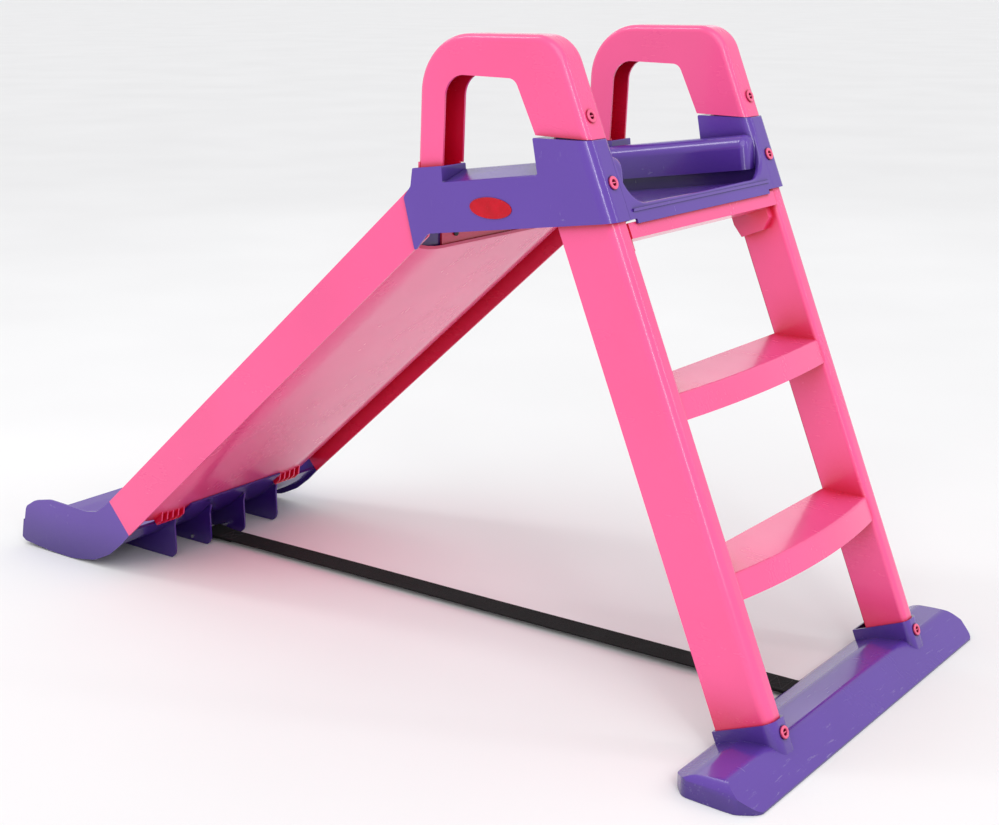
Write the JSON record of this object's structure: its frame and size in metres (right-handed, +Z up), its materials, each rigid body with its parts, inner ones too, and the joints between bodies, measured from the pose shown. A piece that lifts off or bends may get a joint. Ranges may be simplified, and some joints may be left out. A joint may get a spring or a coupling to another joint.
{
  "type": "toddler slide",
  "caption": "Straight toddler slide: stepped ladder, platform with grab handles, one sloping chute, curved run-out, foot bar and a webbing tie strap.",
  "frame": {"origin": "centre of the footprint on the ground", "axes": "+X the way a child slides, from the ladder to the run-out; +Y to the left of a child sliding down; +Z up"},
  "size_m": [1.4696, 0.686, 0.8717],
  "materials": {
    "pink_plastic": "hot pink injection-moulded plastic, glossy",
    "purple_plastic": "purple injection-moulded plastic, glossy",
    "pin_plastic": "pink plastic lock pin",
    "webbing": "black woven polyester webbing",
    "steel": "zinc-plated steel",
    "badge": "plain red oval badge"
  },
  "bodies": {
    "root": {"ladder_frame": "pink_plastic", "foot_bar": "purple_plastic", "platform": "purple_plastic", "handle_left": "pink_plastic", "handle_right": "pink_plastic", "chute": "pink_plastic", "run_out": "purple_plastic", "tie_strap": "webbing", "strap_pin_front": "steel", "strap_pin_rear": "steel", "deck_screws": "steel", "side_badge": "badge"},
    "foot_pin_left": {"foot_pin_left": "pin_plastic"},
    "foot_pin_right": {"foot_pin_right": "pin_plastic"},
    "deck_pin_left": {"deck_pin_left": "pin_plastic"},
    "deck_pin_right": {"deck_pin_right": "pin_plastic"},
    "handle_pin_left": {"handle_pin_left": "pin_plastic"},
    "handle_pin_right": {"handle_pin_right": "pin_plastic"}
  },
  "joints": [
    {"name": "foot_pin_left_turn", "type": "hinge", "parent": "root", "child": "foot_pin_left", "pos_m": [-0.69369, 0.202, 0.04466], "axis": [0.9291, 0, -0.3698], "range_deg": [0, 90]},
    {"name": "foot_pin_right_turn", "type": "hinge", "parent": "root", "child": "foot_pin_right", "pos_m": [-0.69369, -0.202, 0.04466], "axis": [0.9291, 0, -0.3698], "range_deg": [0, 90]},
    {"name": "deck_pin_left_turn", "type": "hinge", "parent": "root", "child": "deck_pin_left", "pos_m": [-0.43444, 0.201, 0.69596], "axis": [0.9291, 0, -0.3698], "range_deg": [0, 90]},
    {"name": "deck_pin_right_turn", "type": "hinge", "parent": "root", "child": "deck_pin_right", "pos_m": [-0.43444, -0.201, 0.69596], "axis": [0.9291, 0, -0.3698], "range_deg": [0, 90]},
    {"name": "handle_pin_left_turn", "type": "hinge", "parent": "root", "child": "handle_pin_left", "pos_m": [-0.40301, 0.201, 0.77493], "axis": [0.9291, 0, -0.3698], "range_deg": [0, 90]},
    {"name": "handle_pin_right_turn", "type": "hinge", "parent": "root", "child": "handle_pin_right", "pos_m": [-0.40301, -0.201, 0.77493], "axis": [0.9291, 0, -0.3698], "range_deg": [0, 90]}
  ]
}
